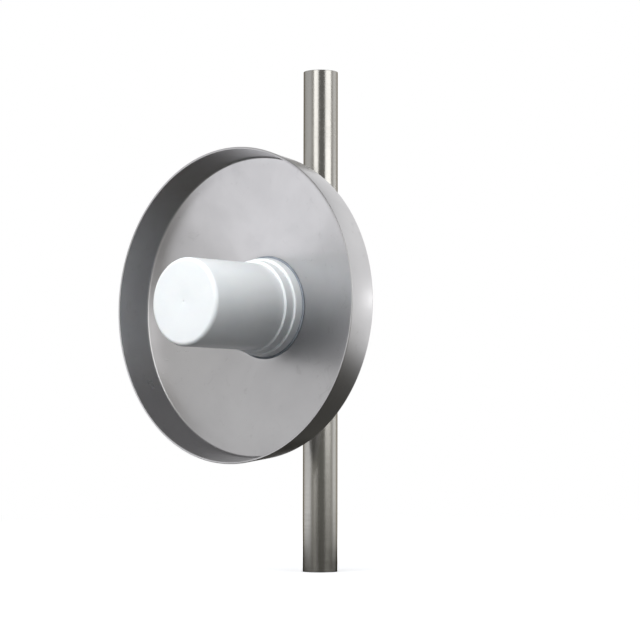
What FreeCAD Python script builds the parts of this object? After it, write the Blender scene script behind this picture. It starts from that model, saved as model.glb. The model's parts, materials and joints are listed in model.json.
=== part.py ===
import FreeCAD, Part
import math
import os
import re
import Sketcher

# Pan reflector antenna with a cylindrical radome on a mast tube. Units are millimetres.
# World frame: origin on the mast axis at the tube's lower end, +Z up, the pan faces -Y.
# Three local frames are used:
#   mast frame   the world frame
#   clamp frame  the world frame raised to the height of the pan's axis
#   head frame   local z runs forward along the pan's axis from the plane of the pan's rear edge,
#                local y is up and local x is the world's x

SIZES = [
    # mast
    ("mast_radius", "24.15", "outer radius of the 48.3 mm tube"),
    ("mast_wall", "2.6", "wall of the tube"),
    ("mast_length", "700", "length of the tube"),
    ("axis_height", "362", "height of the pan's axis on the mast"),
    ("standoff", "133", "mast axis to the plane of the pan's rear edge"),
    # liner
    ("running_gap", "0.05", "radial clearance of a running fit"),
    ("side_gap", "0.3", "clearance between faces of parts that move on each other"),
    ("liner_wall", "2.5", "wall of the split liner"),
    ("liner_lip", "5", "how far the liner's foot flange stands out"),
    ("liner_lip_thick", "3", "thickness of the liner's foot flange"),
    ("liner_split", "3", "width of the slit down the liner"),
    ("liner_inner", "=mast_radius + running_gap", "bore radius of the liner"),
    ("liner_outer", "=liner_inner + liner_wall", "outer radius of the liner"),
    # clamp saddles
    ("clamp_height", "80", "height of both saddles"),
    ("clamp_split", "2", "gap between the saddles"),
    ("clamp_bore", "=liner_outer + running_gap", "bore radius of the saddles"),
    ("saddle_reach", "32", "mast axis to the outer face of a saddle"),
    ("saddle_half", "30", "half width of a saddle's body"),
    ("wing_half", "52", "half width over the bolt wings"),
    ("wing_thick", "13", "outer face of a bolt wing from the mast axis"),
    ("clamp_bolt_across", "41", "clamp bolt from the mast axis, sideways"),
    ("clamp_bolt_rise", "25", "clamp bolt from mid height"),
    # M8 bolts of the clamp and the tilt lock, and the M10 bolt of the tilt pivot
    ("bolt_radius", "4", "radius of an M8 bolt"),
    ("bolt_hole", "4.3", "radius of a hole for an M8 bolt"),
    ("bolt_flats", "13", "width over the flats of an M8 hexagon"),
    ("bolt_head", "5.3", "height of an M8 head"),
    ("bolt_nut", "6.5", "height of an M8 nut"),
    ("lock_nut_height", "8", "height of the self-locking M8 nut"),
    ("pivot_radius", "5", "radius of the M10 pivot bolt"),
    ("pivot_flats", "17", "width over the flats of an M10 hexagon"),
    ("pivot_head", "6.4", "height of an M10 head"),
    ("pivot_nut_height", "9", "height of the M10 nut"),
    ("pivot_play", "0.1", "radial play of the pivot bolt in the yoke's ears"),
    ("thread_play", "0.05", "radial play of a nut's bore on its bolt"),
    ("clamp_bolt_tail", "10", "clamp bolt beyond the rear wings"),
    ("pivot_tail", "12", "pivot bolt beyond its ear"),
    ("lock_tail", "11", "lock bolt beyond its ear"),
    # tilt yoke
    ("pivot_reach", "54", "mast axis to the tilt pivot"),
    ("pivot_rise", "12", "tilt pivot above the pan's axis"),
    ("lock_radius", "28", "tilt pivot to the lock bolt"),
    ("tilt_range", "20", "tilt each way, degrees"),
    ("lug_half", "10", "half thickness of the hub's lug"),
    ("ear_inner", "=lug_half + side_gap", "inner face of a yoke ear from the middle"),
    ("ear_thick", "7", "thickness of a yoke ear"),
    ("ear_outer", "=ear_inner + ear_thick", "outer face of a yoke ear from the middle"),
    ("slot_play", "0.4", "play of the lock bolt in its slots, radial"),
    # pan
    ("pan_radius", "212", "outer radius at the pan's lip"),
    ("pan_rear_radius", "205.9", "outer radius at the pan's rear edge"),
    ("rim_depth", "53.3", "rear edge to lip"),
    ("sheet_thick", "3", "thickness of the pan's sheet"),
    ("base_middle", "-18", "inner face of the base at its flat middle"),
    ("flat_radius", "72", "radius of the base's flat middle"),
    ("base_edge", "4.66", "inner face of the base at the wall, ahead of the rear edge"),
    ("bend_inner", "2.8", "leg of the facet inside the bend between base and wall"),
    ("bend_outer", "=bend_inner + 0.8 * sheet_thick", "leg of the facet outside that bend"),
    ("pan_hole", "8", "centre hole radius of the pan"),
    ("base_rim", "=pan_rear_radius - sheet_thick", "inner radius at the bend"),
    ("base_slope", "=(base_edge - base_middle) / (base_rim - flat_radius)", "rise of the coned base"),
    ("cone_thick", "=sheet_thick * sqrt(1 + base_slope ^ 2)", "the coned base measured along the axis"),
    ("rear_corner", "=base_middle + base_slope * (pan_rear_radius - flat_radius) - cone_thick",
     "where the faces behind the base and outside the wall meet"),
    ("wall_flare", "=(pan_radius - pan_rear_radius) / (rim_depth - rear_corner)", "flare of the wall"),
    # hub behind the pan
    ("hub_radius", "68", "outer radius of the hub"),
    ("hub_back", "-34", "rear face of the hub"),
    ("hub_front", "=base_middle - sheet_thick", "front face of the hub"),
    # radome
    ("seal_radius", "70.2", "outer radius of the radome's seal"),
    ("ring_seat", "-16.7", "rear face of the base ring"),
    ("ring_foot_radius", "67.3", "outer radius of the base ring at its foot"),
    ("ring_top_radius", "66.2", "outer radius of the base ring at its front"),
    ("ring_top", "-4.2", "front face of the base ring"),
    ("ring_bore", "50", "inner radius of the base ring"),
    ("seal_bore", "60", "inner radius of the seal"),
    ("neck_radius", "=cap_radius - cap_wall - running_gap", "outer radius of the neck under the cap"),
    ("neck_rise", "8", "height of the neck above the ring's front"),
    ("foot_radius", "62.7", "outer radius of the cap's foot"),
    ("foot_top", "10.8", "front face of the cap's foot"),
    ("cap_radius", "58.8", "outer radius of the cap"),
    ("cap_front", "142.7", "front face of the cap"),
    ("cap_wall", "3", "wall of the cap"),
    ("cap_round", "6", "rounding of the cap's front edge, drawn as two facets"),
    # screws through hub and pan into the base ring
    ("screw_circle", "56.35", "radius of the screw circle"),
    ("screw_radius", "2.5", "radius of an M5 screw"),
    ("screw_grip", "9.5", "how far a screw reaches into the base ring"),
    ("screw_play", "0.25", "radial play of a screw in its holes"),
    # feed inside the radome
    ("feed_radius", "6.35", "outer radius of the feed line"),
    ("feed_tail", "8", "how far the feed line is screwed into the hub"),
    ("feed_flange_radius", "20", "radius of the feed line's flange"),
    ("feed_flange_thick", "4", "thickness of the feed line's flange"),
    ("dipole_front", "26", "middle height of the dipole arms"),
    ("dipole_reach", "44", "length of a dipole arm from the axis"),
    ("dipole_half", "3", "half thickness of a dipole arm"),
    ("disc_rear", "73", "rear face of the sub-reflector disc"),
    ("disc_radius", "45", "radius of the sub-reflector disc"),
    ("disc_thick", "2", "thickness of the sub-reflector disc"),
    # coaxial jack on the hub
    ("port_across", "40", "jack from the pan's axis, sideways"),
    ("port_back", "13", "jack's axis behind the hub's rear face"),
    ("boss_half", "13", "half width of the boss that carries the jack"),
    ("boss_top", "12", "top face of the boss above the pan's axis"),
    ("boss_low", "-9", "underside of the boss below the pan's axis"),
    ("port_flats", "20", "width of the jack's hexagon"),
    ("port_flange", "4", "thickness of the jack's hexagon"),
    ("port_radius", "7.9", "radius of the jack's barrel"),
    ("port_length", "17", "length of the jack's barrel"),
    ("port_bore", "5.6", "bore radius of the jack's barrel"),
    ("port_stub", "6", "radius of the jack's stub in the boss"),
    ("port_stub_length", "8", "length of the jack's stub in the boss"),
    ("port_pin_radius", "1.5", "radius of the jack's centre pin"),
]

WORDS = re.compile(r"\b(" + "|".join(sorted((row[0] for row in SIZES), key=len, reverse=True)) + r")\b")
BACK = (0, 1, 0)
FRONT = (0, -1, 0)
RIGHT = (1, 0, 0)
DOWN = (0, 0, -1)
FOUR = range(45, 405, 90)

doc = FreeCAD.newDocument("pan_antenna")
sheet = doc.addObject("Spreadsheet::Sheet", "Sizes")


# ---------------------------------------------------------------- sizes and expressions

def fill_sheet():
    """Write every size with its meaning beside it."""
    for row, (alias, content, meaning) in enumerate(SIZES, start=1):
        sheet.set("A%d" % row, meaning)
        sheet.set("B%d" % row, content)
        sheet.setAlias("B%d" % row, alias)
    doc.recompute()


def bound(text):
    """The expression with each size's name pointed at the sheet."""
    return WORDS.sub(r"Sizes.\1", str(text))


def value(text):
    """The number an expression gives now."""
    return float(sheet.evalExpression(bound(text)))


def drive(thing, prop, text):
    """Drive one property by an expression."""
    thing.setExpression(prop, bound(text))


def place(thing, spot, rotation=None):
    """Put an object at a spot whose three coordinates are expressions."""
    thing.Placement = FreeCAD.Placement(FreeCAD.Vector(), rotation or FreeCAD.Rotation())
    for letter, text in zip("xyz", spot):
        drive(thing, ".Placement.Base." + letter, text)


def head_spot(across, rise, ahead):
    """World coordinates of a point given in the head frame."""
    return (across, "-standoff - (%s)" % ahead, "axis_height + (%s)" % rise)


def clamp_spot(across, back, rise):
    """World coordinates of a point given in the clamp frame."""
    return (across, back, "axis_height + (%s)" % rise)


def to_direction(direction):
    """Rotation that turns local +Z to a world direction."""
    return FreeCAD.Rotation(FreeCAD.Vector(0, 0, 1), FreeCAD.Vector(*direction))


# ---------------------------------------------------------------- sketches

def new_body(label):
    body = doc.addObject("PartDesign::Body", label)
    body.Label = label
    return body


def sketch(body, role, offset="0"):
    """A sketch on one of the body's own origin planes, or at a distance in front of it."""
    made = body.newObject("Sketcher::SketchObject", body.Label + "_sketch")
    plane = [o for o in body.Origin.OriginFeatures if o.Role == role][0]
    made.AttachmentSupport = [(plane, "")]
    made.MapMode = "FlatFace"
    drive(made, ".AttachmentOffset.Base.z", offset)
    return made


def bind(drawing, kind, where, text):
    """Add one dimension and drive it by an expression."""
    index = drawing.addConstraint(Sketcher.Constraint(kind, *where, value(text)))
    drawing.setExpression("Constraints[%d]" % index, bound(text))


def pin_point(drawing, geometry, corner, u, v):
    bind(drawing, "DistanceX", (-1, 1, geometry, corner), u)
    bind(drawing, "DistanceY", (-1, 1, geometry, corner), v)


def circle(drawing, u, v, radius):
    middle = FreeCAD.Vector(value(u), value(v), 0)
    made = drawing.addGeometry(Part.Circle(middle, FreeCAD.Vector(0, 0, 1), value(radius)))
    pin_point(drawing, made, 3, u, v)
    bind(drawing, "Radius", (made,), radius)


def add_arc(drawing, start, stop, middle, turn):
    """An arc from start to stop; turn is +1 for anticlockwise. Returns its number and end codes."""
    first, last = (start, stop) if turn > 0 else (stop, start)
    angles = [math.atan2(p.y - middle.y, p.x - middle.x) for p in (first, last)]
    ring = Part.Circle(middle, FreeCAD.Vector(0, 0, 1), (start - middle).Length)
    made = drawing.addGeometry(Part.ArcOfCircle(ring, *angles))
    return (made, 1, 2) if turn > 0 else (made, 2, 1)


def outline(drawing, corners, arcs=None):
    """A closed outline through corners. arcs maps an edge's number to (centre u, centre v, turn)."""
    arcs = arcs or {}
    spots = [FreeCAD.Vector(value(u), value(v), 0) for u, v in corners]
    after = spots[1:] + spots[:1]
    edges = []
    for number, (start, stop) in enumerate(zip(spots, after)):
        if number in arcs:
            u, v, turn = arcs[number]
            edges.append(add_arc(drawing, start, stop, FreeCAD.Vector(value(u), value(v), 0), turn))
        else:
            edges.append((drawing.addGeometry(Part.LineSegment(start, stop)), 1, 2))
    for edge, following in zip(edges, edges[1:] + edges[:1]):
        drawing.addConstraint(Sketcher.Constraint("Coincident", edge[0], edge[2], following[0], following[1]))
    for edge, (u, v) in zip(edges, corners):
        pin_point(drawing, edge[0], edge[1], u, v)
    for number, (u, v, _) in arcs.items():
        # An arc's centre can only slide along its chord's bisector, so one coordinate fixes it.
        chord = after[number] - spots[number]
        if abs(chord.y) > abs(chord.x):
            bind(drawing, "DistanceX", (-1, 1, edges[number][0], 3), u)
        else:
            bind(drawing, "DistanceY", (-1, 1, edges[number][0], 3), v)


def opposite(text):
    """The expression with its sign changed."""
    return text[1:] if text.startswith("-") else "-" + text


def box(drawing, u0, v0, u1, v1):
    outline(drawing, [(u0, v0), (u1, v0), (u1, v1), (u0, v1)])


# ---------------------------------------------------------------- features

def revolve(body, corners, arcs=None):
    """Turn an outline drawn in the body's XZ plane about its Z axis."""
    drawing = sketch(body, "XZ_Plane")
    outline(drawing, corners, arcs)
    made = body.newObject("PartDesign::Revolution", body.Label + "_turned")
    made.Profile = drawing
    made.ReferenceAxis = (drawing, ["V_Axis"])
    made.Angle = 360
    doc.recompute()


def pad(body, drawing, length, symmetric=True):
    made = body.newObject("PartDesign::Pad", body.Label + "_pad")
    made.Profile = drawing
    made.SideType = "Symmetric" if symmetric else "One side"
    drive(made, "Length", length)
    doc.recompute()


def pocket(body, drawing, length=None):
    """Cut to both sides of the sketch, right through unless a length is given."""
    made = body.newObject("PartDesign::Pocket", body.Label + "_pocket")
    made.Profile = drawing
    made.SideType = "Symmetric"
    if length is None:
        made.Type = "ThroughAll"
    else:
        made.Type = "Length"
        drive(made, "Length", length)
    doc.recompute()


def round_edges(body, chosen, radius):
    """Fillet every edge of the body's tip that chosen(edge) accepts."""
    base = body.Tip
    names = ["Edge%d" % n for n, edge in enumerate(base.Shape.Edges, start=1) if chosen(edge)]
    made = body.newObject("PartDesign::Fillet", body.Label + "_round")
    made.Base = (base, names)
    drive(made, "Radius", radius)
    doc.recompute()


def straight_edges(axis, inside):
    """Accepts straight edges along an axis (0, 1 or 2) whose middle passes inside(point)."""
    def chosen(edge):
        if not isinstance(edge.Curve, Part.Line):
            return False
        run = edge.Vertexes[-1].Point - edge.Vertexes[0].Point
        return abs(run[axis]) > 0.99 * run.Length and inside(edge.CenterOfMass)
    return chosen


# ---------------------------------------------------------------- primitives and groups

def along(spot, direction, offset):
    """A spot moved along a direction by an expression."""
    return ["%s + (%s) * (%s)" % (part, step, offset) for part, step in zip(spot, direction)]


def rod(name, spot, direction, offset, radius, length):
    made = doc.addObject("Part::Cylinder", name)
    drive(made, "Radius", radius)
    drive(made, "Height", length)
    place(made, along(spot, direction, offset), to_direction(direction))
    return made


def hexagon(name, spot, direction, offset, flats, length):
    made = doc.addObject("Part::Prism", name)
    made.Polygon = 6
    drive(made, "Circumradius", "%s / sqrt(3)" % flats)
    drive(made, "Height", length)
    place(made, along(spot, direction, offset), to_direction(direction))
    return made


def fuse(name, pieces):
    made = doc.addObject("Part::MultiFuse", name)
    made.Shapes = pieces
    return made


def cut(name, base, tool):
    made = doc.addObject("Part::Cut", name)
    made.Base = base
    made.Tool = tool
    return made


def hex_bolt(name, spot, direction, radius, length, flats, head):
    """Head behind the spot, shank ahead of it."""
    top = hexagon(name + "_head", spot, direction, "-(%s)" % head, flats, head)
    shank = rod(name + "_shank", spot, direction, 0, radius, length)
    return fuse(name, [top, shank])


def hex_nut(name, spot, direction, offset, bore, flats, thick):
    blank = hexagon(name + "_blank", spot, direction, offset, flats, thick)
    hole = rod(name + "_hole", spot, direction, "%s - 1" % offset, bore, "%s + 2" % thick)
    return cut(name, blank, hole)


def group(label, pieces):
    """Equal loose pieces as separate solids of one sub-part."""
    made = doc.addObject("Part::Compound", label)
    made.Label = label
    made.Links = pieces
    return made


# ---------------------------------------------------------------- mast and liner

def mast_tube():
    body = new_body("mast_tube")
    drawing = sketch(body, "XY_Plane")
    circle(drawing, 0, 0, "mast_radius")
    circle(drawing, 0, 0, "mast_radius - mast_wall")
    pad(body, drawing, "mast_length", symmetric=False)
    place(body, (0, 0, 0))
    return body


def clamp_liner():
    """Slit plastic sleeve that the clamp turns on, with a flange under the clamp."""
    body = new_body("clamp_liner")
    low = "-clamp_height / 2 - side_gap"
    revolve(body, [
        ("liner_inner", low + " - liner_lip_thick"),
        ("liner_outer + liner_lip", low + " - liner_lip_thick"),
        ("liner_outer + liner_lip", low),
        ("liner_outer", low),
        ("liner_outer", "clamp_height / 2 + liner_lip_thick"),
        ("liner_inner", "clamp_height / 2 + liner_lip_thick"),
    ])
    drawing = sketch(body, "XY_Plane")
    box(drawing, "liner_inner / 2", "-liner_split / 2", "liner_outer + liner_lip + 5", "liner_split / 2")
    pocket(body, drawing)
    place(body, clamp_spot(0, 0, 0))
    return body


# ---------------------------------------------------------------- clamp

def saddle_blank(label, side):
    """Clamp half on one side of the mast, without its bore: side -1 is the front, +1 the rear."""
    body = new_body(label)
    drawing = sketch(body, "XY_Plane")
    face = "%d * clamp_split / 2" % side
    wing = "%d * wing_thick" % side
    outer = "%d * saddle_reach" % side
    outline(drawing, [
        ("-wing_half", face),
        ("-wing_half", wing),
        ("-saddle_half", wing),
        ("-saddle_half + 8", outer),
        ("saddle_half - 8", outer),
        ("saddle_half", wing),
        ("wing_half", wing),
        ("wing_half", face),
    ])
    pad(body, drawing, "clamp_height")
    return body


def saddle_holes(body):
    """The mast bore and four bolt holes."""
    bore = sketch(body, "XY_Plane")
    circle(bore, 0, 0, "clamp_bore")
    pocket(body, bore)
    holes = sketch(body, "XZ_Plane")
    for across in (-1, 1):
        for rise in (-1, 1):
            circle(holes, "%d * clamp_bolt_across" % across, "%d * clamp_bolt_rise" % rise, "bolt_hole")
    pocket(body, holes)


def wing_corners(edge):
    """Vertical edges at the tips of the wings."""
    return straight_edges(2, lambda p: abs(p.x) > value("wing_half") - 0.1)(edge)


def arc_slot(drawing, radius, half_width, half_angle):
    """A slot below the pivot that keeps its distance from it."""
    def corner(reach, sign):
        turn = "%d * (%s) * 1 deg" % (sign, half_angle)
        return ("-pivot_reach + (%s) * sin(%s)" % (reach, turn),
                "pivot_rise - (%s) * cos(%s)" % (reach, turn))
    inner = "%s - %s" % (radius, half_width)
    outer = "%s + %s" % (radius, half_width)
    outline(
        drawing,
        [corner(outer, -1), corner(outer, 1), corner(inner, 1), corner(inner, -1)],
        {
            0: ("-pivot_reach", "pivot_rise", 1),
            1: corner(radius, 1) + (1,),
            2: ("-pivot_reach", "pivot_rise", -1),
            3: corner(radius, -1) + (1,),
        },
    )


def clamp_front_saddle():
    """Front half of the clamp with the two ears that carry the tilt pivot."""
    body = saddle_blank("clamp_front_saddle", -1)
    ears = sketch(body, "YZ_Plane")
    outline(ears, [
        ("-saddle_reach + 4", "pivot_rise + 24"),
        ("-pivot_reach - 2", "pivot_rise + 17"),
        ("-pivot_reach - 13", "pivot_rise + 8"),
        ("-pivot_reach - 22", "pivot_rise - lock_radius + 8"),
        ("-pivot_reach - 22", "pivot_rise - lock_radius - 2"),
        ("-pivot_reach - 13", "pivot_rise - lock_radius - 12"),
        ("-saddle_reach + 4", "pivot_rise - lock_radius - 18"),
    ])
    pad(body, ears, "2 * ear_outer")
    gap = sketch(body, "YZ_Plane")
    box(gap, "-pivot_reach - 40", "-clamp_height / 2", "-saddle_reach", "clamp_height / 2")
    pocket(body, gap, "2 * ear_inner")
    saddle_holes(body)
    pins = sketch(body, "YZ_Plane")
    circle(pins, "-pivot_reach", "pivot_rise", "pivot_radius + pivot_play")
    pocket(body, pins)
    slots = sketch(body, "YZ_Plane")
    arc_slot(slots, "lock_radius", "(bolt_radius + slot_play)", "tilt_range")
    pocket(body, slots)
    round_edges(body, wing_corners, 3)
    round_edges(body, straight_edges(0, lambda p: p.y < -value("pivot_reach") - 1), 4)
    place(body, clamp_spot(0, 0, 0))
    return body


def clamp_rear_saddle():
    body = saddle_blank("clamp_rear_saddle", 1)
    saddle_holes(body)
    round_edges(body, wing_corners, 3)
    place(body, clamp_spot(0, 0, 0))
    return body


def clamp_corners():
    return [(across, rise) for across in (-1, 1) for rise in (-1, 1)]


def clamp_bolt_spot(across, rise, back):
    return clamp_spot("%d * clamp_bolt_across" % across, back, "%d * clamp_bolt_rise" % rise)


def clamp_bolts():
    pieces = []
    for number, (across, rise) in enumerate(clamp_corners()):
        spot = clamp_bolt_spot(across, rise, "-wing_thick")
        length = "2 * wing_thick + clamp_bolt_tail"
        name = "clamp_bolt_%d" % number
        pieces.append(hex_bolt(name, spot, BACK, "bolt_radius", length, "bolt_flats", "bolt_head"))
    return group("clamp_bolts", pieces)


def clamp_nuts():
    pieces = []
    for number, (across, rise) in enumerate(clamp_corners()):
        spot = clamp_bolt_spot(across, rise, "wing_thick")
        name = "clamp_nut_%d" % number
        pieces.append(hex_nut(name, spot, BACK, "0", "bolt_radius + thread_play", "bolt_flats", "bolt_nut"))
    return group("clamp_nuts", pieces)


# ---------------------------------------------------------------- tilt hardware

def pivot_spot(across):
    return clamp_spot(across, "-pivot_reach", "pivot_rise")


def lock_spot(across):
    return clamp_spot(across, "-pivot_reach", "pivot_rise - lock_radius")


def pivot_bolt():
    made = hex_bolt("pivot_bolt", pivot_spot("-ear_outer"), RIGHT, "pivot_radius",
                    "2 * ear_outer + pivot_tail", "pivot_flats", "pivot_head")
    made.Label = "pivot_bolt"
    return made


def pivot_nut():
    made = hex_nut("pivot_nut", pivot_spot("ear_outer"), RIGHT, "0",
                   "pivot_radius + thread_play", "pivot_flats", "pivot_nut_height")
    made.Label = "pivot_nut"
    return made


def lock_bolt():
    made = hex_bolt("lock_bolt", lock_spot("-ear_outer - side_gap"), RIGHT, "bolt_radius",
                    "2 * ear_outer + lock_tail", "bolt_flats", "bolt_head")
    made.Label = "lock_bolt"
    return made


def lock_nut():
    made = hex_nut("lock_nut", lock_spot("ear_outer + side_gap"), RIGHT, "0",
                   "bolt_radius + thread_play", "bolt_flats", "lock_nut_height")
    made.Label = "lock_nut"
    return made


# ---------------------------------------------------------------- hub and pan

def on_circle(radius, angle):
    """Two coordinates of a point on a circle about the pan's axis, as expressions."""
    return ("%s * cos(%d * 1 deg)" % (radius, angle), "%s * sin(%d * 1 deg)" % (radius, angle))


def screw_holes(body, offset="0", length=None):
    """The four screw holes, through or cut to both sides of a plane across the body's Z axis."""
    drawing = sketch(body, "XY_Plane", offset)
    for angle in FOUR:
        circle(drawing, *on_circle("screw_circle", angle), "screw_radius + screw_play")
    pocket(body, drawing, length)


def to_head():
    """Rotation from the head frame to the world."""
    return FreeCAD.Rotation(FreeCAD.Vector(1, 0, 0), 90)


def in_head(body):
    """Set a body that was drawn in the head frame into the world."""
    place(body, head_spot(0, 0, 0), to_head())
    return body


def rear_hub():
    """Hub behind the pan, with the lug that hangs on the tilt pivot and the boss for the jack."""
    body = new_body("rear_hub")
    revolve(body, [
        ("0", "hub_back"),
        ("hub_radius", "hub_back"),
        ("hub_radius", "hub_front"),
        ("feed_radius + running_gap", "hub_front"),
        ("feed_radius + running_gap", "hub_front - feed_tail - 1"),
        ("0", "hub_front - feed_tail - 1"),
    ])
    screw_holes(body)
    boss = sketch(body, "XZ_Plane", "-boss_low")
    box(boss, "port_across - boss_half", "hub_back - port_back - boss_half",
        "port_across + boss_half", "hub_back + 1")
    pad(body, boss, "boss_low - boss_top", symmetric=False)
    port = sketch(body, "XZ_Plane", "-boss_low")
    circle(port, "port_across", "hub_back - port_back", "port_stub + running_gap")
    pocket(body, port, "2 * (port_stub_length + 1)")
    pivot = "pivot_reach - standoff"
    lug = sketch(body, "YZ_Plane")
    outline(lug, [
        ("pivot_rise + 20", "hub_back + 1"),
        ("pivot_rise + 14", pivot + " + 4"),
        ("pivot_rise + 9", pivot + " - 11"),
        ("pivot_rise", pivot + " - 14"),
        ("pivot_rise - lock_radius", pivot + " - 10"),
        ("pivot_rise - lock_radius - 9", pivot + " - 6"),
        ("pivot_rise - lock_radius - 11", pivot + " + 6"),
        ("pivot_rise - lock_radius - 18", "hub_back + 1"),
    ])
    pad(body, lug, "2 * lug_half")
    pins = sketch(body, "YZ_Plane")
    circle(pins, "pivot_rise", pivot, "pivot_radius + running_gap")
    circle(pins, "pivot_rise - lock_radius", pivot, "bolt_radius")
    pocket(body, pins)
    return in_head(body)


def cone_face(radius, depth="0"):
    """Height of the coned base, or of a face that lies depth behind it, as an expression."""
    return "base_middle + base_slope * (%s - flat_radius) - %s" % (radius, depth)


def reflector_pan():
    """Round pan: flat middle, coned base, bend drawn as a facet, and a slightly flared wall."""
    body = new_body("reflector_pan")
    revolve(body, [
        ("pan_hole", "hub_front"),
        ("flat_radius + (cone_thick - sheet_thick) / base_slope", "hub_front"),
        ("pan_rear_radius - bend_outer", cone_face("(pan_rear_radius - bend_outer)", "cone_thick")),
        ("pan_rear_radius + wall_flare * bend_outer", "rear_corner + bend_outer"),
        ("pan_radius", "rim_depth"),
        ("pan_radius - sheet_thick", "rim_depth"),
        ("base_rim + wall_flare * bend_inner", "base_edge + bend_inner"),
        ("base_rim - bend_inner", cone_face("(base_rim - bend_inner)")),
        ("flat_radius", "base_middle"),
        ("pan_hole", "base_middle"),
    ])
    screw_holes(body)
    return in_head(body)


# ---------------------------------------------------------------- radome

def radome_seal():
    """Flat seal under the base ring, outside the screws."""
    body = new_body("radome_seal")
    revolve(body, [
        ("seal_bore", "base_middle"),
        ("seal_radius", "base_middle"),
        ("seal_radius", "ring_seat"),
        ("seal_bore", "ring_seat"),
    ])
    return in_head(body)


def radome_base_ring():
    """Lower step of the collar, with the neck that the cap is bonded on."""
    body = new_body("radome_base_ring")
    revolve(body, [
        ("ring_bore", "ring_seat"),
        ("ring_foot_radius", "ring_seat"),
        ("ring_top_radius", "ring_top"),
        ("neck_radius", "ring_top"),
        ("neck_radius", "ring_top + neck_rise"),
        ("ring_bore", "ring_top + neck_rise"),
    ])
    screw_holes(body, "ring_seat", "2 * (screw_grip + 1)")
    return in_head(body)


def radome_cap():
    """Cylindrical cap whose thick foot is the upper step of the collar."""
    body = new_body("radome_cap")
    turn = "cap_round * (1 - cos(45 * 1 deg))"
    revolve(body, [
        ("cap_radius - cap_wall", "ring_top"),
        ("foot_radius", "ring_top"),
        ("foot_radius", "foot_top"),
        ("cap_radius", "foot_top"),
        ("cap_radius", "cap_front - cap_round"),
        ("cap_radius - " + turn, "cap_front - " + turn),
        ("cap_radius - cap_round", "cap_front"),
        ("0", "cap_front"),
        ("0", "cap_front - cap_wall"),
        ("cap_radius - cap_wall", "cap_front - cap_wall"),
    ])
    return in_head(body)


def hub_screws():
    """Screws through the hub and the pan into the base ring."""
    pieces = []
    for angle in FOUR:
        across, rise = on_circle("screw_circle", angle)
        spot = head_spot(across, rise, "hub_back")
        length = "ring_seat - hub_back + screw_grip"
        pieces.append(hex_bolt("hub_screw_%d" % angle, spot, FRONT, "screw_radius", length, 8, 3.5))
    return group("hub_screws", pieces)


# ---------------------------------------------------------------- feed inside the radome

def feed_line():
    """Rigid feed line with the flange that stands on the pan."""
    body = new_body("feed_line")
    revolve(body, [
        ("0", "hub_front - feed_tail"),
        ("feed_radius", "hub_front - feed_tail"),
        ("feed_radius", "base_middle"),
        ("feed_flange_radius", "base_middle"),
        ("feed_flange_radius", "base_middle + feed_flange_thick"),
        ("feed_radius", "base_middle + feed_flange_thick"),
        ("feed_radius", "disc_rear"),
        ("0", "disc_rear"),
    ])
    return in_head(body)


def dipole_crown():
    """Crossed dipole arms cut from one plate, with a collar round the feed line."""
    body = new_body("dipole_crown")
    arms = sketch(body, "XY_Plane")
    near, far = "dipole_half", "dipole_reach"
    quarter = [(far, "-" + near), (far, near), (near, near)]
    corners = []
    for turn in range(4):
        corners += quarter
        quarter = [(opposite(v), u) for u, v in quarter]
    outline(arms, corners)
    pad(body, arms, "2 * dipole_half")
    collar = sketch(body, "XY_Plane")
    circle(collar, 0, 0, "feed_radius + 3")
    pad(body, collar, "4 * dipole_half")
    bore = sketch(body, "XY_Plane")
    circle(bore, 0, 0, "feed_radius + running_gap")
    pocket(body, bore)
    place(body, head_spot(0, 0, "dipole_front"), to_head())
    return body


def sub_reflector():
    made = rod("sub_reflector", head_spot(0, 0, "disc_rear"), FRONT, 0, "disc_radius", "disc_thick")
    made.Label = "sub_reflector"
    return made


# ---------------------------------------------------------------- coaxial jack

def port_spot(drop):
    """A point on the jack's axis, so far below the boss's underside."""
    return head_spot("port_across", "boss_low - (%s)" % drop, "hub_back - port_back")


def port_body():
    """Jack screwed into the underside of the boss, with its mouth down."""
    spot = port_spot("0")
    stub = rod("port_stub", spot, DOWN, "-port_stub_length", "port_stub", "port_stub_length")
    nut = hexagon("port_hexagon", spot, DOWN, 0, "port_flats", "port_flange")
    barrel = rod("port_barrel", spot, DOWN, "port_flange", "port_radius", "port_length")
    bore = rod("port_bore_tool", spot, DOWN, "port_flange", "port_bore", "port_length + 1")
    made = cut("port_body", fuse("port_blank", [stub, nut, barrel]), bore)
    made.Label = "port_body"
    return made


def port_pin():
    made = rod("port_pin", port_spot("port_flange"), DOWN, 0, "port_pin_radius", "port_length - 3")
    made.Label = "port_pin"
    return made


# ---------------------------------------------------------------- build and export

def build_all():
    """Every sub-part, in order from the mast outwards."""
    makers = [
        mast_tube, clamp_liner,
        clamp_front_saddle, clamp_rear_saddle, clamp_bolts, clamp_nuts, pivot_bolt, pivot_nut,
        lock_bolt, lock_nut, rear_hub, hub_screws, reflector_pan,
        radome_seal, radome_base_ring, radome_cap,
        feed_line, dipole_crown, sub_reflector,
        port_body, port_pin,
    ]
    return [maker() for maker in makers]


def check_all():
    """Stop at the first object that failed to build."""
    for thing in doc.Objects:
        if "Invalid" in thing.State or "Error" in thing.State:
            raise RuntimeError("%s did not build: %s" % (thing.Label, thing.State))


def export_all(nodes):
    os.makedirs("parts", exist_ok=True)
    for node in nodes:
        if node.Shape.isNull() or not node.Shape.isValid():
            raise RuntimeError("%s has no valid shape" % node.Label)
        node.Shape.exportStep("parts/%s.step" % node.Label)
        size = node.Shape.BoundBox
        print("%-20s %2d solids  volume %10.1f  x %.1f..%.1f  y %.1f..%.1f  z %.1f..%.1f" % (
            node.Label, len(node.Shape.Solids), node.Shape.Volume,
            size.XMin, size.XMax, size.YMin, size.YMax, size.ZMin, size.ZMax))


fill_sheet()
nodes = build_all()
doc.recompute()
check_all()
export_all(nodes)
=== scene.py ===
import json
import math

import bmesh
import bpy
from mathutils import Matrix, Vector


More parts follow.
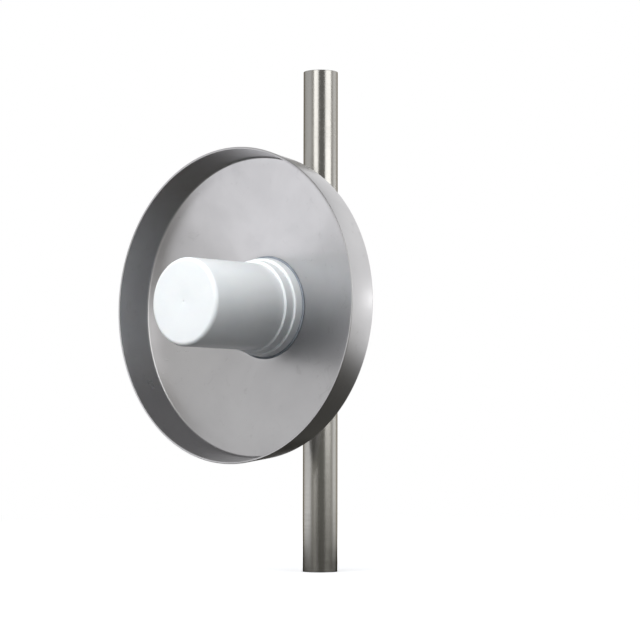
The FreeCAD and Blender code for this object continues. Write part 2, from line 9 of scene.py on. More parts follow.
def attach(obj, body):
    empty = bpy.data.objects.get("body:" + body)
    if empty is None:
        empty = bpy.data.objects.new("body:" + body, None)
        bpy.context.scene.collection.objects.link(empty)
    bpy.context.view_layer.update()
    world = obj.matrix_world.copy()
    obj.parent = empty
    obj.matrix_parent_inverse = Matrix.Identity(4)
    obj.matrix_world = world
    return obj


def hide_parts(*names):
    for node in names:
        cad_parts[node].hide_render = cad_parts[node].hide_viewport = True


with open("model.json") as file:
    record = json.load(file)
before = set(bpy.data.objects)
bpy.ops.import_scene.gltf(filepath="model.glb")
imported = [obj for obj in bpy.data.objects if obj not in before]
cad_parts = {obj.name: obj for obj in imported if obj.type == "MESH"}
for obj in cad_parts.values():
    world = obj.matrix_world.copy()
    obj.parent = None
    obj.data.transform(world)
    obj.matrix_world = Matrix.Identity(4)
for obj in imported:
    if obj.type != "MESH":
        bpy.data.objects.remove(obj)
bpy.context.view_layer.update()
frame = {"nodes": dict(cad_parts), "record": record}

AXIS_HEIGHT = 0.362          # pan's axis above the mast's foot
STANDOFF = 0.133             # mast axis to the plane of the pan's rear edge
# The pan's own frame: Z forward from its rear edge along its axis, Y up.
HEAD = Matrix.Translation((0, -STANDOFF, AXIS_HEIGHT)) @ Matrix.Rotation(math.pi / 2, 4, "X")


# ---------------------------------------------------------------- camera

CAMERA_SPOT = (1.9915, -2.3452, 0.1742)
CAMERA_RIGHT = (0.7751, 0.6319, 0.0)
CAMERA_FORWARD = (-0.6304, 0.7733, 0.0677)
LENS, SENSOR = 123.75, 36    # millimetres
SHIFT_X, SHIFT_Y = -0.0695, -0.0365
CLIP_END = 100


def make_camera():
    """Long lens, 0.19 m below the pan's axis, 39 degrees round toward +X from straight ahead."""
    right = Vector(CAMERA_RIGHT)
    forward = Vector(CAMERA_FORWARD).normalized()
    up = right.cross(forward).normalized()
    right = forward.cross(up).normalized()
    turn = Matrix((right, up, -forward)).transposed().to_4x4()
    data = bpy.data.cameras.new("camera")
    data.lens = LENS
    data.sensor_width = SENSOR
    data.shift_x = SHIFT_X
    data.shift_y = SHIFT_Y
    data.clip_end = CLIP_END
    camera = bpy.data.objects.new("camera", data)
    bpy.context.scene.collection.objects.link(camera)
    camera.matrix_world = Matrix.Translation(CAMERA_SPOT) @ turn
    bpy.context.scene.camera = camera


# ---------------------------------------------------------------- node helpers

class Shader:
    """A material under construction, with short calls for the nodes it needs."""

    def __init__(self, name):
        self.material = bpy.data.materials.new(name)
        self.material.use_nodes = True
        self.tree = self.material.node_tree
        self.principled = next(n for n in self.tree.nodes if n.type == "BSDF_PRINCIPLED")
        self.output = next(n for n in self.tree.nodes if n.type == "OUTPUT_MATERIAL")

    @classmethod
    def on_world(cls, name):
        """The same calls for the world's nodes."""
        world = bpy.data.worlds.new(name)
        bpy.context.scene.world = world
        world.use_nodes = True
        made = cls.__new__(cls)
        made.tree = world.node_tree
        made.tree.nodes.clear()
        made.output = made.node("ShaderNodeOutputWorld")
        return made

    def node(self, kind, **settings):
        made = self.tree.nodes.new(kind)
        for key, content in settings.items():
            setattr(made, key, content)
        return made

    def link(self, source, target):
        self.tree.links.new(source, target)

    def feed(self, socket, content):
        """Link an output or set a constant."""
        if isinstance(content, bpy.types.NodeSocket):
            self.link(content, socket)
        else:
            socket.default_value = content

    def place(self):
        return self.node("ShaderNodeTexCoord").outputs["Object"]

    def math(self, operation, a, b=0.0):
        made = self.node("ShaderNodeMath", operation=operation)
        self.feed(made.inputs[0], a)
        self.feed(made.inputs[1], b)
        return made.outputs[0]

    def split(self, vector):
        made = self.node("ShaderNodeSeparateXYZ")
        self.link(vector, made.inputs[0])
        return made.outputs

    def join(self, x, y, z):
        made = self.node("ShaderNodeCombineXYZ")
        for socket, content in zip(made.inputs, (x, y, z)):
            self.feed(socket, content)
        return made.outputs[0]

    def stretch(self, vector, scale):
        made = self.node("ShaderNodeMapping")
        self.link(vector, made.inputs["Vector"])
        made.inputs["Scale"].default_value = scale
        return made.outputs[0]

    def noise(self, vector, scale, detail=4.0, rough=0.55, distortion=0.0):
        made = self.node("ShaderNodeTexNoise")
        self.link(vector, made.inputs["Vector"])
        made.inputs["Scale"].default_value = scale
        made.inputs["Detail"].default_value = detail
        made.inputs["Roughness"].default_value = rough
        made.inputs["Distortion"].default_value = distortion
        return made.outputs["Fac"]

    def speckle(self, vector, scale):
        made = self.node("ShaderNodeTexVoronoi", feature="F1")
        self.link(vector, made.inputs["Vector"])
        made.inputs["Scale"].default_value = scale
        return made.outputs["Distance"]

    def ramp(self, value, low, high, out_low=0.0, out_high=1.0):
        """Smooth step of a value between two outputs."""
        made = self.node("ShaderNodeMapRange", interpolation_type="SMOOTHSTEP")
        self.feed(made.inputs["Value"], value)
        span = {"From Min": low, "From Max": high, "To Min": out_low, "To Max": out_high}
        for key, number in span.items():
            made.inputs[key].default_value = number
        return made.outputs["Result"]

    def tint(self, fac, first, second):
        """Mix two colours."""
        made = self.node("ShaderNodeMix", data_type="RGBA")
        self.feed(made.inputs[0], fac)
        self.feed(made.inputs[6], first if isinstance(first, bpy.types.NodeSocket) else (*first, 1))
        self.feed(made.inputs[7], second if isinstance(second, bpy.types.NodeSocket) else (*second, 1))
        return made.outputs[2]

    def bump(self, height, distance, strength=1.0, after=None):
        made = self.node("ShaderNodeBump")
        made.inputs["Strength"].default_value = strength
        made.inputs["Distance"].default_value = distance
        self.link(height, made.inputs["Height"])
        if after is not None:
            self.link(after, made.inputs["Normal"])
        return made.outputs["Normal"]

    def finish(self, **sockets):
        """Set the principled shader's sockets; underscores in names stand for spaces."""
        for key, content in sockets.items():
            self.feed(self.principled.inputs[key.replace("_", " ")], content)
        return self.material


def distance(s, x, y):
    return s.math("SQRT", s.math("ADD", s.math("MULTIPLY", x, x), s.math("MULTIPLY", y, y)))


def polar(s, vector):
    """Radius and angle about the local Z axis, and the height."""
    x, y, z = s.split(vector)
    return distance(s, x, y), s.math("ARCTAN2", y, x), z


# ---------------------------------------------------------------- materials

def polished_steel():
    """Tube polished round its girth, with faint handling marks, and a dark brown edge tint that paints
    darker reflections along its sides.
    """
    s = Shader("polished_tube")
    spot = s.place()
    lines = s.noise(s.stretch(spot, (20, 20, 500)), 1.0, 2.0, 0.5)
    patches = s.noise(spot, 14.0, 4.0, 0.6)
    smears = s.noise(s.stretch(spot, (60, 60, 9)), 1.0, 5.0, 0.65, 0.6)
    colour = s.tint(s.ramp(smears, 0.42, 0.72), (0.495, 0.486, 0.462), (0.455, 0.445, 0.422))
    rough = s.math("ADD", s.ramp(patches, 0.35, 0.75, 0.20, 0.25), s.ramp(lines, 0.3, 0.7, -0.01, 0.03))
    normal = s.bump(lines, 0.000006, 0.3)
    # Specular Tint: a dark brown edge tint, a painted reflection that darkens the tube toward its sides.
    return s.finish(Base_Color=colour, Metallic=1.0, Roughness=rough, Normal=normal,
                    Specular_Tint=(0.22, 0.18, 0.12, 1.0))


def satin_sheet():
    """Spun sheet: fine turning marks, a soft satin surface, a few smudges and light scuffs."""
    s = Shader("satin_sheet")
    spot = s.place()
    radius, angle, height = polar(s, spot)
    fine = 1500.0                # turning marks to the metre, across the marks
    turns = s.noise(s.join(s.math("MULTIPLY", radius, fine), s.math("MULTIPLY", angle, 1.3),
                           s.math("MULTIPLY", height, fine)), 1.0, 4.0, 0.6)
    cloud = s.noise(spot, 9.0, 5.0, 0.6, 0.4)
    smudge = s.noise(spot, 34.0, 6.0, 0.7, 1.2)
    scuff = s.noise(s.stretch(spot, (40, 260, 60)), 1.0, 4.0, 0.7, 0.5)
    scuffs = s.ramp(scuff, 0.66, 0.74)
    smudges = s.ramp(smudge, 0.58, 0.70)
    colour = s.tint(s.ramp(cloud, 0.3, 0.7), (0.615, 0.61, 0.618), (0.575, 0.57, 0.58))
    colour = s.tint(s.math("MULTIPLY", smudges, 0.5), colour, (0.50, 0.495, 0.50))
    colour = s.tint(s.math("MULTIPLY", scuffs, 0.25), colour, (0.72, 0.72, 0.72))
    rough = s.ramp(cloud, 0.25, 0.75, 0.27, 0.36)
    rough = s.math("ADD", rough, s.math("MULTIPLY", smudges, 0.06))
    rough = s.math("ADD", rough, s.math("MULTIPLY", scuffs, -0.05))
    normal = s.bump(turns, 0.00003, 0.5)
    normal = s.bump(cloud, 0.0004, 0.35, normal)
    return s.finish(Base_Color=colour, Metallic=1.0, Roughness=rough, Normal=normal)


def white_plastic():
    """Moulded weatherproof plastic, half gloss, with a trace of orange peel and dust."""
    s = Shader("white_plastic")
    spot = s.place()
    angle, height = polar(s, spot)[1:]
    peel = s.noise(spot, 420.0, 2.0, 0.5)
    cloud = s.noise(spot, 22.0, 4.0, 0.6)
    unrolled = s.join(s.math("MULTIPLY", angle, 4.0), s.math("MULTIPLY", height, 14.0), 0.0)
    flow = s.noise(unrolled, 1.0, 4.0, 0.6)
    dust = s.ramp(s.noise(spot, 160.0, 5.0, 0.75), 0.62, 0.78)
    colour = s.tint(s.ramp(cloud, 0.3, 0.7), (0.885, 0.91, 0.918), (0.85, 0.88, 0.895))
    colour = s.tint(s.math("MULTIPLY", dust, 0.12), colour, (0.66, 0.65, 0.62))
    rough = s.math("ADD", s.ramp(flow, 0.3, 0.7, 0.30, 0.37), s.math("MULTIPLY", dust, 0.15))
    normal = s.bump(peel, 0.00004, 0.4)
    return s.finish(Base_Color=colour, Roughness=rough, IOR=1.49, Normal=normal,
                    Subsurface_Weight=0.04, Subsurface_Scale=0.004)


def rubber(name, light, dark):
    """Moulded rubber with fine bloom."""
    s = Shader(name)
    spot = s.place()
    bloom = s.noise(spot, 60.0, 5.0, 0.65)
    grain = s.noise(spot, 900.0, 2.0, 0.5)
    colour = s.tint(s.ramp(bloom, 0.35, 0.7), dark, light)
    rough = s.ramp(bloom, 0.3, 0.7, 0.55, 0.75)
    return s.finish(Base_Color=colour, Roughness=rough, Normal=s.bump(grain, 0.00005, 0.5))


def cast_alloy():
    """Blasted casting: fine pitted skin, brighter on worn areas."""
    s = Shader("cast_alloy")
    spot = s.place()
    skin = s.noise(spot, 700.0, 3.0, 0.6)
    pits = s.ramp(s.speckle(spot, 520.0), 0.05, 0.35)
    cloud = s.noise(spot, 26.0, 5.0, 0.6)
    edge = s.node("ShaderNodeNewGeometry").outputs["Pointiness"]
    worn = s.ramp(edge, 0.505, 0.56)
    colour = s.tint(s.ramp(cloud, 0.3, 0.7), (0.42, 0.425, 0.43), (0.36, 0.365, 0.375))
    colour = s.tint(s.math("MULTIPLY", worn, 0.5), colour, (0.56, 0.56, 0.56))
    rough = s.math("SUBTRACT", s.ramp(cloud, 0.3, 0.7, 0.46, 0.58), s.math("MULTIPLY", worn, 0.14))
    normal = s.bump(skin, 0.00012, 0.55)
    normal = s.bump(pits, 0.00006, 0.4, normal)
    return s.finish(Base_Color=colour, Metallic=1.0, Roughness=rough, Normal=normal)


def moulded_black():
    """Black moulded plastic with a fine grain."""
    s = Shader("black_plastic")
    spot = s.place()
    grain = s.noise(spot, 1100.0, 2.0, 0.5)
    cloud = s.noise(spot, 40.0, 4.0, 0.6)
    colour = s.tint(s.ramp(cloud, 0.3, 0.7), (0.030, 0.030, 0.033), (0.052, 0.051, 0.050))
    rough = s.ramp(cloud, 0.3, 0.7, 0.42, 0.55)
    return s.finish(Base_Color=colour, Roughness=rough, Normal=s.bump(grain, 0.00006, 0.5))


def turned_metal(name, first, second, low, high):
    """Bright turned or rolled metal with fine tool lines and slight tarnish."""
    s = Shader(name)
    spot = s.place()
    lines = s.noise(s.stretch(spot, (2400, 300, 2400)), 1.0, 2.0, 0.5)
    cloud = s.noise(spot, 70.0, 5.0, 0.65)
    marks = s.ramp(s.noise(spot, 240.0, 5.0, 0.7), 0.60, 0.74)
    colour = s.tint(s.ramp(cloud, 0.3, 0.7), first, second)
    colour = s.tint(s.math("MULTIPLY", marks, 0.3), colour, tuple(0.6 * c for c in second))
    rough = s.math("ADD", s.ramp(cloud, 0.3, 0.7, low, high), s.math("MULTIPLY", marks, 0.1))
    return s.finish(Base_Color=colour, Metallic=1.0, Roughness=rough, Normal=s.bump(lines, 0.00003, 0.4))


def make_materials():
    """One material for each slot of the record."""
    return {
        "polished_tube": polished_steel(),
        "satin_sheet": satin_sheet(),
        "white_plastic": white_plastic(),
        "grey_rubber": rubber("grey_rubber", (0.29, 0.32, 0.36), (0.21, 0.235, 0.27)),
        "cast_alloy": cast_alloy(),
        "black_plastic": moulded_black(),
        "stainless_fasteners": turned_metal("stainless_fasteners", (0.50, 0.495, 0.48), (0.42, 0.415, 0.40),
                                            0.24, 0.34),
        "turned_brass": turned_metal("turned_brass", (0.80, 0.62, 0.30), (0.66, 0.49, 0.22), 0.2, 0.32),
        "nickel_plate": turned_metal("nickel_plate", (0.58, 0.565, 0.53), (0.49, 0.475, 0.44), 0.18, 0.28),
    }


SLOTS = {row["node"]: row["material_slot"] for row in frame["record"]["subparts"]}


def body_of_node(node):
    bodies = frame["record"]["behaviour"]["bodies"]
    return next(body for body, nodes in bodies.items() if node in nodes)


def dress_nodes(materials):
    """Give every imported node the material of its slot."""
    for node, thing in frame["nodes"].items():
        for slot in thing.material_slots:
            slot.material = materials[SLOTS[node]]


def stand_in(name, made, node, materials, sharp, matrix=Matrix.Identity(4)):
    """Turn a mesh under construction into a piece that stands for a node."""
    bmesh.ops.recalc_face_normals(made, faces=made.faces)
    mesh = bpy.data.meshes.new(name)
    made.to_mesh(mesh)
    made.free()
    mesh.shade_smooth()
    mesh.set_sharp_from_angle(angle=math.radians(sharp))
    mesh.materials.append(materials[SLOTS[node]])
    thing = bpy.data.objects.new(name, mesh)
    bpy.context.scene.collection.objects.link(thing)
    thing.matrix_world = matrix
    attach(thing, body_of_node(node))
    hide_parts(node)


# ---------------------------------------------------------------- turned pieces

ON_AXIS = 1e-6               # a profile's point nearer the axis than this is a pole
TURNED_SHARP = 32            # degrees between faces from which an edge stays sharp
BASE_MIDDLE = -0.018         # inner face of the pan's base at its flat middle
BASE_EDGE = 0.00466          # inner face of the base at the wall
BASE_RIM = 0.2029            # inner radius of the pan at its bend
FLAT_RADIUS = 0.072          # radius of the base's flat middle
EASE_RADIUS = 0.0725         # radius at which the flat eases into the cone
EASE = 0.004                 # how gently it does


def arc(middle, radius, start, stop, steps):
    """Points on an arc in the profile's plane, angles in degrees."""
    turns = [math.radians(start + (stop - start) * i / steps) for i in range(steps + 1)]
    return [(middle[0] + radius * math.cos(a), middle[1] + radius * math.sin(a)) for a in turns]


def rounded(corner, before, after, radius, steps=6):
    """A corner of a profile rounded by a tangent arc between its two neighbours."""
    corner, before, after = Vector(corner), Vector(before), Vector(after)
    one, two = (before - corner).normalized(), (after - corner).normalized()
    half = one.angle(two) / 2
    reach = radius / math.tan(half)
    middle = corner + (one + two).normalized() * radius / math.sin(half)
    first, last = corner + one * reach - middle, corner + two * reach - middle
    turn = math.atan2(first.x * last.y - first.y * last.x, first.dot(last))
    points = []
    for i in range(steps + 1):
        a = turn * i / steps
        points.append((middle.x + first.x * math.cos(a) - first.y * math.sin(a),
                       middle.y + first.x * math.sin(a) + first.y * math.cos(a)))
    return points


def lathe(profile, segments):
    """Turn a closed profile of (radius, height) points about the local Z axis."""
    made = bmesh.new()
    turns = [2 * math.pi * i / segments for i in range(segments)]
    rows = []
    for radius, height in profile:
        spots = [(radius * math.cos(a), radius * math.sin(a), height) for a in turns]
        rows.append([made.verts.new(spot) for spot in (spots if radius > ON_AXIS else [(0, 0, height)])])
    for one, two in zip(rows, rows[1:] + rows[:1]):
        for i in range(segments):
            j = (i + 1) % segments
            if len(one) == 1 and len(two) == 1:
                break
            if len(one) == 1:
                made.faces.new((one[0], two[j], two[i]))
            elif len(two) == 1:
                made.faces.new((one[i], one[j], two[0]))
            else:
                made.faces.new((one[i], one[j], two[j], two[i]))
    return made


def base_height(radius, depth=0.0):
    """Height of the pan's base: flat middle easing into a shallow cone, or a face depth behind it."""
    slope = (BASE_EDGE - BASE_MIDDLE) / (BASE_RIM - FLAT_RADIUS)
    past = radius - EASE_RADIUS
    return BASE_MIDDLE + slope * (past + math.hypot(past, EASE)) / 2 - depth


def pan_profile():
    """Pan's section: flat middle, coned base, bend, flared wall and rounded lip."""
    sheet, hole, cone = 0.003, 0.008, 0.003045
    lip, rear, depth = 0.212, 0.2059, 0.0533
    inner, outer, count = 0.062, rear - 0.012, 30      # evenly spaced rings over the cone
    outer_corner = (rear, base_height(rear, cone))
    inner_corner = (rear - sheet, base_height(rear - sheet))
    spread = [hole, 0.030, 0.055] + [inner + (outer - inner) * i / count for i in range(count + 1)]
    back = [(r, base_height(r, sheet)) for r in spread]
    front = [(r, base_height(r)) for r in reversed(spread)]
    top_out, top_in = (lip, depth), (lip - sheet, depth)
    outer_bend, inner_bend, lip_round = 0.0065, 0.0035, 0.0008
    return (back + rounded(outer_corner, back[-1], top_out, outer_bend, 10)
            + rounded(top_out, outer_corner, top_in, lip_round, 4)
            + rounded(top_in, top_out, inner_corner, lip_round, 4)
            + rounded(inner_corner, top_in, front[0], inner_bend, 8) + front)


def cap_profile():
    """Radome: thick foot, straight body with a trace of draft, rounded front, gate dimple, thin wall."""
    seat, step, front, wall = -0.0042, 0.0108, 0.1427, 0.003
    foot, low, tip, curve = 0.0627, 0.0591, 0.0585, 0.006
    profile = [(low - wall, seat), (foot - 0.0003, seat), (foot, seat + 0.0004)]
    profile += rounded((foot, step), (foot, seat), (low, step), 0.0009, 5)
    profile += [(low + 0.0006, step), (low + 0.0002, step + 0.0002), (low, step + 0.0007)]
    profile += [(low + (tip - low) * i / 8, step + (front - curve - step) * i / 8) for i in range(1, 8)]
    profile += arc((tip - curve, front - curve), curve, 0, 90, 12)
    profile += [(0.030, front), (0.0024, front), (0.0017, front - 0.0001), (0.0013, front - 0.0005),
                (0.0, front - 0.0005), (0.0, front - wall), (tip - wall, front - wall)]
    return profile


def ring_profile():
    """Lower step of the collar, with the neck that the cap sits on."""
    seat, top, foot, head, bore, neck = -0.0167, -0.0042, 0.0673, 0.0662, 0.050, 0.05575
    profile = [(bore, seat), (foot - 0.0004, seat), (foot, seat + 0.0004)]
    profile += rounded((head, top), (foot, seat), (bore, top), 0.0009, 5)
    profile += [(neck, top), (neck, top + 0.008), (bore, top + 0.008)]
    return profile


def seal_profile():
    """Flat seal with a rounded bead where it stands out from the collar."""
    bore, edge, low, seat = 0.060, 0.0702, -0.018, -0.0167
    return [(bore, low), (edge - 0.0003, low), (edge, low + 0.0003), (edge - 0.0001, seat - 0.0003),
            (edge - 0.0005, seat), (bore, seat)]


def tube_profile():
    """Mast tube with its cut ends lightly broken."""
    outer, inner, length, edge = 0.02415, 0.02155, 0.700, 0.0004
    return [(inner + edge, 0.0), (outer - edge, 0.0), (outer, edge), (outer, length - edge),
            (outer - edge, length), (inner + edge, length), (inner, length - edge), (inner, edge)]


def make_turned(materials):
    """Finely divided stand-ins for the round nodes that show most."""
    upright = Matrix.Identity(4)
    for name, profile, segments, matrix, node in (
            ("pan_shell", pan_profile(), 288, HEAD, "reflector_pan"),
            ("radome_shell", cap_profile(), 160, HEAD, "radome_cap"),
            ("radome_collar", ring_profile(), 160, HEAD, "radome_base_ring"),
            ("radome_bead", seal_profile(), 160, HEAD, "radome_seal"),
            ("mast_shell", tube_profile(), 144, upright, "mast_tube")):
        stand_in(name, lathe(profile, segments), node, materials, TURNED_SHARP, matrix)


# ---------------------------------------------------------------- fasteners

ROUND = 48                   # points round each ring of a fastener
TURNS = [2 * math.pi * i / ROUND for i in range(ROUND)]
DETAIL_SHARP = 28            # degrees between faces from which an edge stays sharp

# Radius, pitch, width over the flats and height of the head, in metres.
M5 = (0.0025, 0.0008, 0.008, 0.0035)
M8 = (0.004, 0.00125, 0.013, 0.0053)
M10 = (0.005, 0.0015, 0.017, 0.0064)

# Places in millimetres, as the solids have them.
AXIS_Z = 362                 # pan's axis
HUB_BACK = -99               # rear face of the hub
WING_FACE = 13               # outer face of a saddle's bolt wing
BOLTS_X, BOLTS_Z = 41, 25    # clamp bolts from the mast's axis and from mid height
SCREWS = 39.85               # hub screws from the pan's axis, across and up
PIVOT_Y, PIVOT_Z, LOCK_Z = -54, 374, 346
EAR_FACE = 17.3              # outer face of a yoke ear
LOCK_FACE = 17.6             # seat of the lock bolt and its nut, clear of the ears they slide on
JACK = (40, -86, 353)        # jack's face under its boss


def ring(height, radius, across=None):
    """Ring of points about the local Z axis, cut to a hexagon's sides where it has a size across them."""
    points = []
    for a in TURNS:
        side = radius if across is None else across / 2 / math.cos(a % (math.pi / 3) - math.pi / 6)
        points.append(Vector((min(radius, side) * math.cos(a), min(radius, side) * math.sin(a), height)))
    return points


def hexagon_rings(across, low, high, high_chamfer=True):
    """A hexagon whose corners are turned off at its low end, and at its high end where asked."""
    deep, crown, corner = 0.06 * across, 0.478 * across, 0.578 * across
    steps = (0.0, 0.35, 0.7, 1.0)
    first = [ring(low + deep * k, crown + (corner - crown) * k, across) for k in steps]
    last = [ring(high - deep * k, crown + (corner - crown) * k, across) for k in reversed(steps)]
    return first + (last if high_chamfer else [ring(high, corner, across)])


def thread_rings(radius, pitch, low, high):
    """A helical thread that runs out in a short chamfer at its high end."""
    deep, steps = 0.6 * pitch, 6
    rings = []
    for i in range(int((high - low) / pitch * steps) + 1):
        height = low + pitch * i / steps
        most = radius - max(0.0, height - (high - pitch))
        points = []
        for a in TURNS:
            wave = abs(((height / pitch - a / (2 * math.pi)) % 1.0) * 2 - 1)
            reach = min(most, radius - deep * min(1.0, max(0.0, wave * 1.3 - 0.15)))
            points.append(Vector((reach * math.cos(a), reach * math.sin(a), height)))
        rings.append(points)
    return rings


def skin(made, rings, matrix, loop=False):
    """Join rings of points into one closed surface, capped at its ends or closed on itself."""
    rows = [[made.verts.new(matrix @ point) for point in points] for points in rings]
    pairs = list(zip(rows, rows[1:])) + ([(rows[-1], rows[0])] if loop else [])
    for one, two in pairs:
        for i in range(ROUND):
            j = (i + 1) % ROUND
            made.faces.new((one[i], one[j], two[j], two[i]))
    if not loop:
        made.faces.new(rows[0])
        made.faces.new(rows[-1])


def bolt(made, matrix, size, length, plain):
    """Hexagon bolt: stamped dish in its head, washer face, plain shank, then thread."""
    radius, pitch, across, head = size
    washer_face = 0.47 * across
    rings = [ring(0.04 * across - head, 0.26 * across), ring(-head, 0.33 * across)]
    rings += hexagon_rings(across, -head, -0.03 * across, high_chamfer=False)
    rings += [ring(-0.03 * across, washer_face), ring(0, washer_face), ring(0, radius), ring(plain, radius)]
    rings += thread_rings(radius, pitch, plain + pitch / 6, length)
    skin(made, rings, matrix)


def nut(made, matrix, size, thick):
    """Hexagon nut, chamfered on both faces, with a countersunk mouth."""
    radius, across = size[0], size[2]
    rings = [ring(0.0004, radius), ring(0, radius + 0.0005)]
    rings += hexagon_rings(across, 0, thick)
    rings += [ring(thick, radius + 0.0007), ring(thick - 0.0007, radius)]
    skin(made, rings, matrix, loop=True)


def facing(spot, direction, corner):
    """Matrix at a spot in millimetres, with local Z along a direction and local X at a corner."""
    z, x = Vector(direction), Vector(corner)
    turn = Matrix((x, z.cross(x), z)).transposed().to_4x4()
    return Matrix.Translation(Vector(spot) / 1000) @ turn


def make_fasteners(materials):
    """Bolts, nuts and screws, where the CAD has them, with chamfers and threads."""
    x, y, z, front = (1, 0, 0), (0, 1, 0), (0, 0, 1), (0, -1, 0)
    corners = [(across, AXIS_Z + rise) for across in (-BOLTS_X, BOLTS_X) for rise in (-BOLTS_Z, BOLTS_Z)]
    hub_corners = [(across, AXIS_Z + rise) for across in (-SCREWS, SCREWS) for rise in (-SCREWS, SCREWS)]
    made = {name: bmesh.new() for name in
            ("clamp_bolts", "clamp_nuts", "pivot_bolt", "pivot_nut", "lock_bolt", "lock_nut", "hub_screws")}
    for across, height in corners:
        bolt(made["clamp_bolts"], facing((across, -WING_FACE, height), y, x), M8, 0.036, 0.024)
        nut(made["clamp_nuts"], facing((across, WING_FACE, height), y, x), M8, 0.0065)
    for across, height in hub_corners:
        bolt(made["hub_screws"], facing((across, HUB_BACK, height), front, x), M5, 0.0268, 0.020)
    bolt(made["pivot_bolt"], facing((-EAR_FACE, PIVOT_Y, PIVOT_Z), x, z), M10, 0.0466, 0.033)
    nut(made["pivot_nut"], facing((EAR_FACE, PIVOT_Y, PIVOT_Z), x, z), M10, 0.009)
    bolt(made["lock_bolt"], facing((-LOCK_FACE, PIVOT_Y, LOCK_Z), x, z), M8, 0.0456, 0.033)
    nut(made["lock_nut"], facing((LOCK_FACE, PIVOT_Y, LOCK_Z), x, z), M8, 0.008)
    for node, mesh in made.items():
        stand_in(node + "_detail", mesh, node, materials, DETAIL_SHARP)


def make_jack(materials):
    """Coaxial jack: stub in the boss, chamfered hexagon, threaded barrel and its open mouth."""
    made = bmesh.new()
    stub, neck, barrel, mouth = 0.006, 0.0074, 0.0079, 0.0056
    flange, tip, pitch = 0.004, 0.021, 0.00106
    rings = [ring(-0.008, stub), ring(0, stub)]
    rings += hexagon_rings(0.020, 0, flange)
    rings += [ring(flange, neck), ring(0.0052, neck)]
    rings += thread_rings(barrel, pitch, 0.0054, tip)
    rings += [ring(tip, 0.0062), ring(0.0204, mouth), ring(flange, mouth)]
    skin(made, rings, facing(JACK, (0, 0, -1), (0, 1, 0)))
    stand_in("port_detail", made, "port_body", materials, DETAIL_SHARP)


# ---------------------------------------------------------------- castings

MERGE = 0.000002             # points nearer than this are one
COPLANAR = math.radians(1)   # faces nearer than this in direction are one
CAST_EDGE = math.radians(24)  # edges sharper than this are rounded


def make_castings(materials):
    """The cast pieces again, with their edges and inner corners rounded as a casting's are."""
    for node, width in (("clamp_front_saddle", 0.0007), ("clamp_rear_saddle", 0.0007), ("rear_hub", 0.0008)):
        made = bmesh.new()
        made.from_mesh(frame["nodes"][node].data)
        bmesh.ops.remove_doubles(made, verts=made.verts, dist=MERGE)
        bmesh.ops.dissolve_limit(made, angle_limit=COPLANAR, verts=made.verts, edges=made.edges)
        sharp = [e for e in made.edges if len(e.link_faces) == 2 and e.calc_face_angle() > CAST_EDGE]
        bmesh.ops.bevel(made, geom=sharp, offset=width, offset_type="OFFSET", segments=3, profile=0.5,
                        affect="EDGES", clamp_overlap=False)
        stand_in(node + "_cast", made, node, materials, DETAIL_SHARP)


# ---------------------------------------------------------------- studio

FLOOR_HALF = 30
MIDDLE = (0, -0.12, 0.36)    # about the middle of the object

# Sectors of the backdrop: azimuth, degrees either side in full, degrees at which it has gone.
ROUND_CAMERA = (-45, 16, 42)
FRONT_LEFT = (-150, 24, 46)
BEHIND = (100, 45, 70)

# Name, place, aim, width, height, watts, and whether metal mirrors it.
LAMPS = (
    ("panel_front", (0.45, -2.56, 1.2), (0, 0, 0.9), 1.4, 1.8, 13.5, True),
    ("panel_right", (2.6, 0.1, 1.0), (0, 0, 0.8), 2.0, 1.4, 15, True),
    ("glint", (1.15, 2.3, 0.56), (0.21, -0.16, 0.362), 0.45, 0.30, 1.3, True),
    ("key_high", (0.7, -1.6, 2.4), MIDDLE, 1.5, 1.5, 42, False),
    ("fill_front", (-0.6, -2.4, 1.3), MIDDLE, 1.2, 1.2, 24, False),
)


def make_floor():
    mesh = bpy.data.meshes.new("floor")
    corners = [(FLOOR_HALF * i, FLOOR_HALF * j, 0) for i, j in ((-1, -1), (1, -1), (1, 1), (-1, 1))]
    mesh.from_pydata(corners, [], [(0, 1, 2, 3)])
    mesh.materials.append(floor_material())
    thing = bpy.data.objects.new("floor", mesh)
    bpy.context.scene.collection.objects.link(thing)


def ray_kinds(s):
    """Camera rays, and the rays off metal and through glass that show the background too."""
    path = s.node("ShaderNodeLightPath").outputs
    unlit = s.math("LESS_THAN", path["Diffuse Depth"], 0.5)
    mirrored = s.math("MULTIPLY", path["Is Glossy Ray"], unlit)
    return path["Is Camera Ray"], s.math("MAXIMUM", mirrored, path["Is Transmission Ray"])


def sector(s, x, y, azimuth, full, none):
    """One within some degrees of an azimuth, easing to nothing further round."""
    turn = math.radians(azimuth)
    along = s.math("ADD", s.math("MULTIPLY", x, math.cos(turn)), s.math("MULTIPLY", y, math.sin(turn)))
    cosine = s.math("DIVIDE", along, s.math("MAXIMUM", distance(s, x, y), 0.0001))
    return s.ramp(cosine, math.cos(math.radians(none)), math.cos(math.radians(full)))


def backdrop(s, x, y, side):
    """What metal mirrors: white behind the object, one side in front, grey round the camera."""
    near_camera = s.tint(sector(s, x, y, *ROUND_CAMERA), (0.44, 0.430, 0.405), (0.19, 0.186, 0.172))
    round_about = s.tint(sector(s, x, y, *FRONT_LEFT), near_camera, side)
    return s.tint(sector(s, x, y, *BEHIND), round_about, (1.0, 1.0, 1.0))


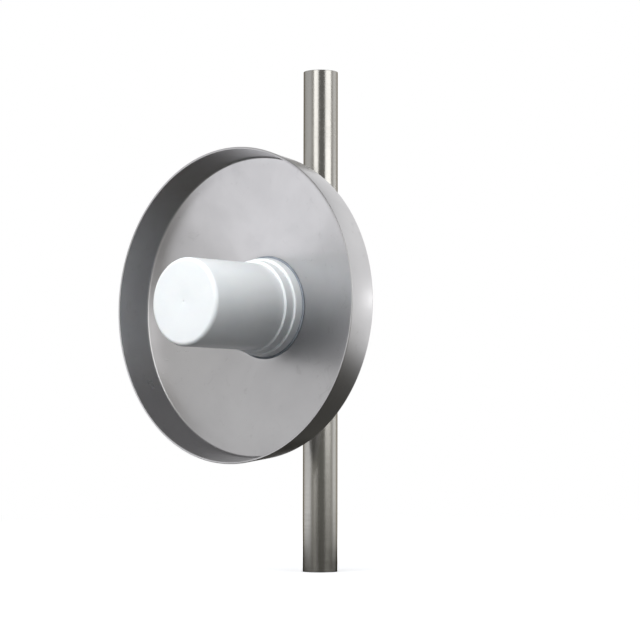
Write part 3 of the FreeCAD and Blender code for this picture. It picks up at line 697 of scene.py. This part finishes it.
def floor_material():
    """Pale floor that keeps the object's shadow near it and melts into the background far off; in
    reflections the floor near the object is painted dark, a painted shade under it.
    """
    s = Shader("floor")
    spot = s.place()
    x, y = s.split(spot)[:2]
    away = distance(s, x, y)
    camera, mirror = ray_kinds(s)
    # In reflections: painted shade, dark near the object and easing to the backdrop further off.
    mirrored = s.tint(s.ramp(away, 0.5, 1.25), (0.072, 0.070, 0.063), backdrop(s, x, y, (1.2, 1.2, 1.23)))
    far = s.ramp(away, 0.7, 2.4)
    pale = s.tint(s.ramp(s.noise(spot, 2.0, 3.0, 0.5), 0.3, 0.7), (0.86, 0.86, 0.86), (0.84, 0.84, 0.845))
    # In reflections the floor's lit colour is a dark grey, part of the same painted shade.
    colour = s.tint(camera, s.tint(mirror, (0.09, 0.09, 0.09), (0.0, 0.0, 0.0)),
                    s.tint(far, pale, (0.0, 0.0, 0.0)))
    glow = s.tint(camera, s.tint(mirror, (0.0, 0.0, 0.0), mirrored),
                  s.tint(far, (0.5, 0.5, 0.5), (1.0, 1.0, 1.0)))
    return s.finish(Base_Color=colour, Roughness=0.9, Specular_IOR_Level=0.0,
                    Emission_Color=glow, Emission_Strength=1.0)


def area(name, spot, aim, width, height, power, mirrored):
    data = bpy.data.lights.new(name, "AREA")
    data.shape = "RECTANGLE"
    data.size = width
    data.size_y = height
    data.energy = power
    lamp = bpy.data.objects.new(name, data)
    bpy.context.scene.collection.objects.link(lamp)
    lamp.visible_camera = False
    lamp.visible_glossy = mirrored
    lamp.location = spot
    lamp.rotation_mode = "QUATERNION"
    lamp.rotation_quaternion = (Vector(aim) - Vector(spot)).to_track_quat("-Z", "Y")


def make_world():
    """The background, in view and in reflections, and a soft grey room as light on the object."""
    s = Shader.on_world("studio")
    x, y, z = s.split(s.node("ShaderNodeTexCoord").outputs["Generated"])
    room = s.tint(s.ramp(z, -0.2, 0.9), (0.05, 0.05, 0.05), (0.54, 0.555, 0.58))
    walls = backdrop(s, x, y, (0.70, 0.70, 0.70))
    seen = s.tint(s.ramp(z, 0.56, 0.8), walls, (0.20, 0.20, 0.205))
    camera, mirror = ray_kinds(s)
    shade = s.node("ShaderNodeBackground")
    s.link(s.tint(camera, s.tint(mirror, room, seen), (1.0, 1.0, 1.0)), shade.inputs["Color"])
    s.link(shade.outputs[0], s.output.inputs["Surface"])


def make_studio():
    make_floor()
    for row in LAMPS:
        area(*row)
    make_world()
    bpy.context.scene.view_settings.view_transform = "Standard"


make_camera()
dressing = make_materials()
dress_nodes(dressing)
make_turned(dressing)
make_fasteners(dressing)
make_jack(dressing)
make_castings(dressing)
make_studio()
